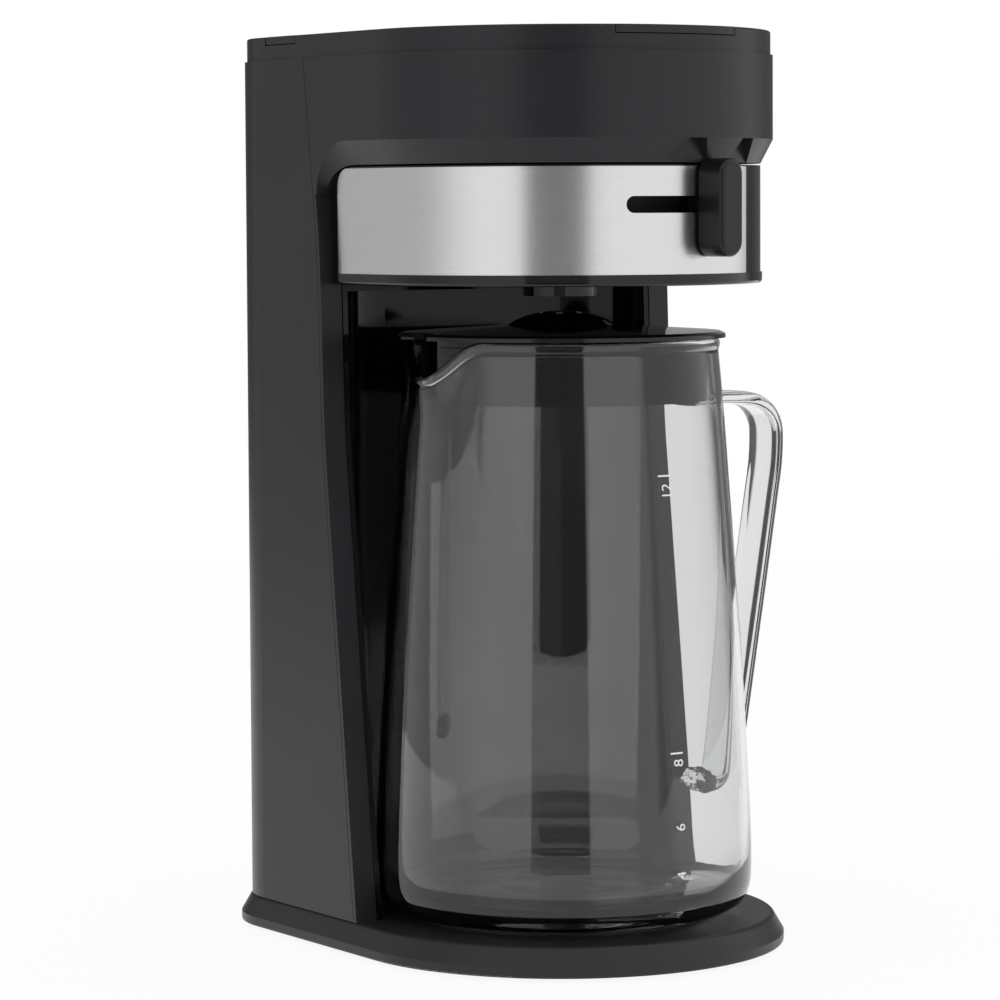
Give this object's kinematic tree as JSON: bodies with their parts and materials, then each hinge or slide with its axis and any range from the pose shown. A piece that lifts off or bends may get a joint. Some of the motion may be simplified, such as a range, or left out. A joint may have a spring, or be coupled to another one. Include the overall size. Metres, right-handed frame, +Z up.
{
  "type": "iced coffee maker",
  "caption": "countertop iced coffee maker with a round-fronted tower, flip-up tank lid, steel-faced steeping drawer with a strength lever, and a glass jug with cap on the base",
  "frame": {"origin": "on the table at the foot under the middle of the base, 23 mm behind the brewing axis", "axes": "+X to the right as seen from the front, -Y to the front, +Z up"},
  "size_m": [0.1978, 0.2294, 0.371],
  "materials": {
    "base_satin": "satin moulded, charcoal black",
    "cover_black": "fine moulded texture",
    "foot_rubber": "matt rubber",
    "screw_zinc": "zinc plated",
    "housing_satin": "satin moulded, charcoal black",
    "head_satin": "satin moulded, charcoal black",
    "liner_gloss": "gloss black",
    "bay_black": "moulded black",
    "frame_satin": "satin moulded, charcoal black",
    "lid_satin": "satin moulded, charcoal black",
    "rod_steel": "drawn steel",
    "seal_silicone": "grey silicone",
    "tank_grey": "natural moulded polypropylene, grey",
    "valve_white": "moulded acetal",
    "block_aluminium": "extruded",
    "element_steel": "heat-tinted sheath",
    "saddle_steel": "pressed, zinc plated",
    "thermostat_ceramic": "phenolic and steel",
    "hose_silicone": "translucent silicone",
    "spray_white": "moulded polypropylene",
    "drawer_gloss": "gloss black",
    "facing_steel": "vertical brushing",
    "basket_grey": "moulded dark grey",
    "filter_steel": "perforated",
    "pivot_black": "moulded",
    "gate_white": "moulded acetal",
    "lever_satin": "satin moulded, black",
    "jug_glass": "clear glass",
    "cap_black": "gloss black",
    "gasket_silicone": "black silicone",
    "bezel_satin": "satin moulded",
    "button_satin": "satin moulded, dark grey",
    "switch_black": "moulded",
    "lens_amber": "tinted clear",
    "gland_rubber": "matt rubber"
  },
  "bodies": {
    "housing": {"base_shell": "base_satin", "base_cover": "cover_black", "base_feet": "foot_rubber", "cover_screws": "screw_zinc", "rear_housing": "housing_satin", "head_shell": "head_satin", "cavity_liner": "liner_gloss", "bay_liner": "bay_black", "drawer_rails": "bay_black", "top_frame": "frame_satin", "lid_hinge_rod": "rod_steel", "water_tank": "tank_grey", "tank_well": "tank_grey", "tank_valve": "valve_white", "heater_block": "block_aluminium", "heater_element": "element_steel", "heater_saddle": "saddle_steel", "thermostat": "thermostat_ceramic", "inlet_hose": "hose_silicone", "riser_hose": "hose_silicone", "spray_head": "spray_white", "button_bezel": "bezel_satin", "power_switch": "switch_black", "pilot_lens": "lens_amber", "cord_gland": "gland_rubber"},
    "lid": {"reservoir_lid": "lid_satin", "lid_seal": "seal_silicone"},
    "drawer": {"drawer_body": "drawer_gloss", "drawer_facing": "facing_steel", "steeping_basket": "basket_grey", "filter_disc": "filter_steel", "lever_pivot": "pivot_black"},
    "lever": {"strength_lever": "lever_satin", "flow_gate": "gate_white"},
    "jug": {"glass_jug": "jug_glass"},
    "jug_cap": {"jug_lid": "cap_black", "jug_lid_gasket": "gasket_silicone"},
    "button": {"power_button": "button_satin"}
  },
  "joints": [
    {"name": "lid_hinge", "type": "hinge", "parent": "housing", "child": "lid", "pos_m": [0, 0.0645, 0.3694], "axis": [-1, 0, 0], "range_deg": [0, 80]},
    {"name": "drawer_slide", "type": "slide", "parent": "housing", "child": "drawer", "axis": [0, -1, 0], "range_m": [0, 0.15]},
    {"name": "lever_turn", "type": "hinge", "parent": "drawer", "child": "lever", "pos_m": [0, -0.023, 0.3], "axis": [0, 0, 1], "range_deg": [-22, 0]},
    {"name": "jug_slide", "type": "slide", "parent": "housing", "child": "jug", "axis": [0, -1, 0], "range_m": [0, 0.18]},
    {"name": "jug_lid_turn", "type": "hinge", "parent": "jug", "child": "jug_cap", "pos_m": [0, -0.024, 0.25], "axis": [0, 0, 1], "range_deg": [0, 90]},
    {"name": "power_button", "type": "slide", "parent": "housing", "child": "button", "axis": [-1, 0, 0], "range_m": [0, 0.002], "stiffness_N_per_m": 800}
  ]
}
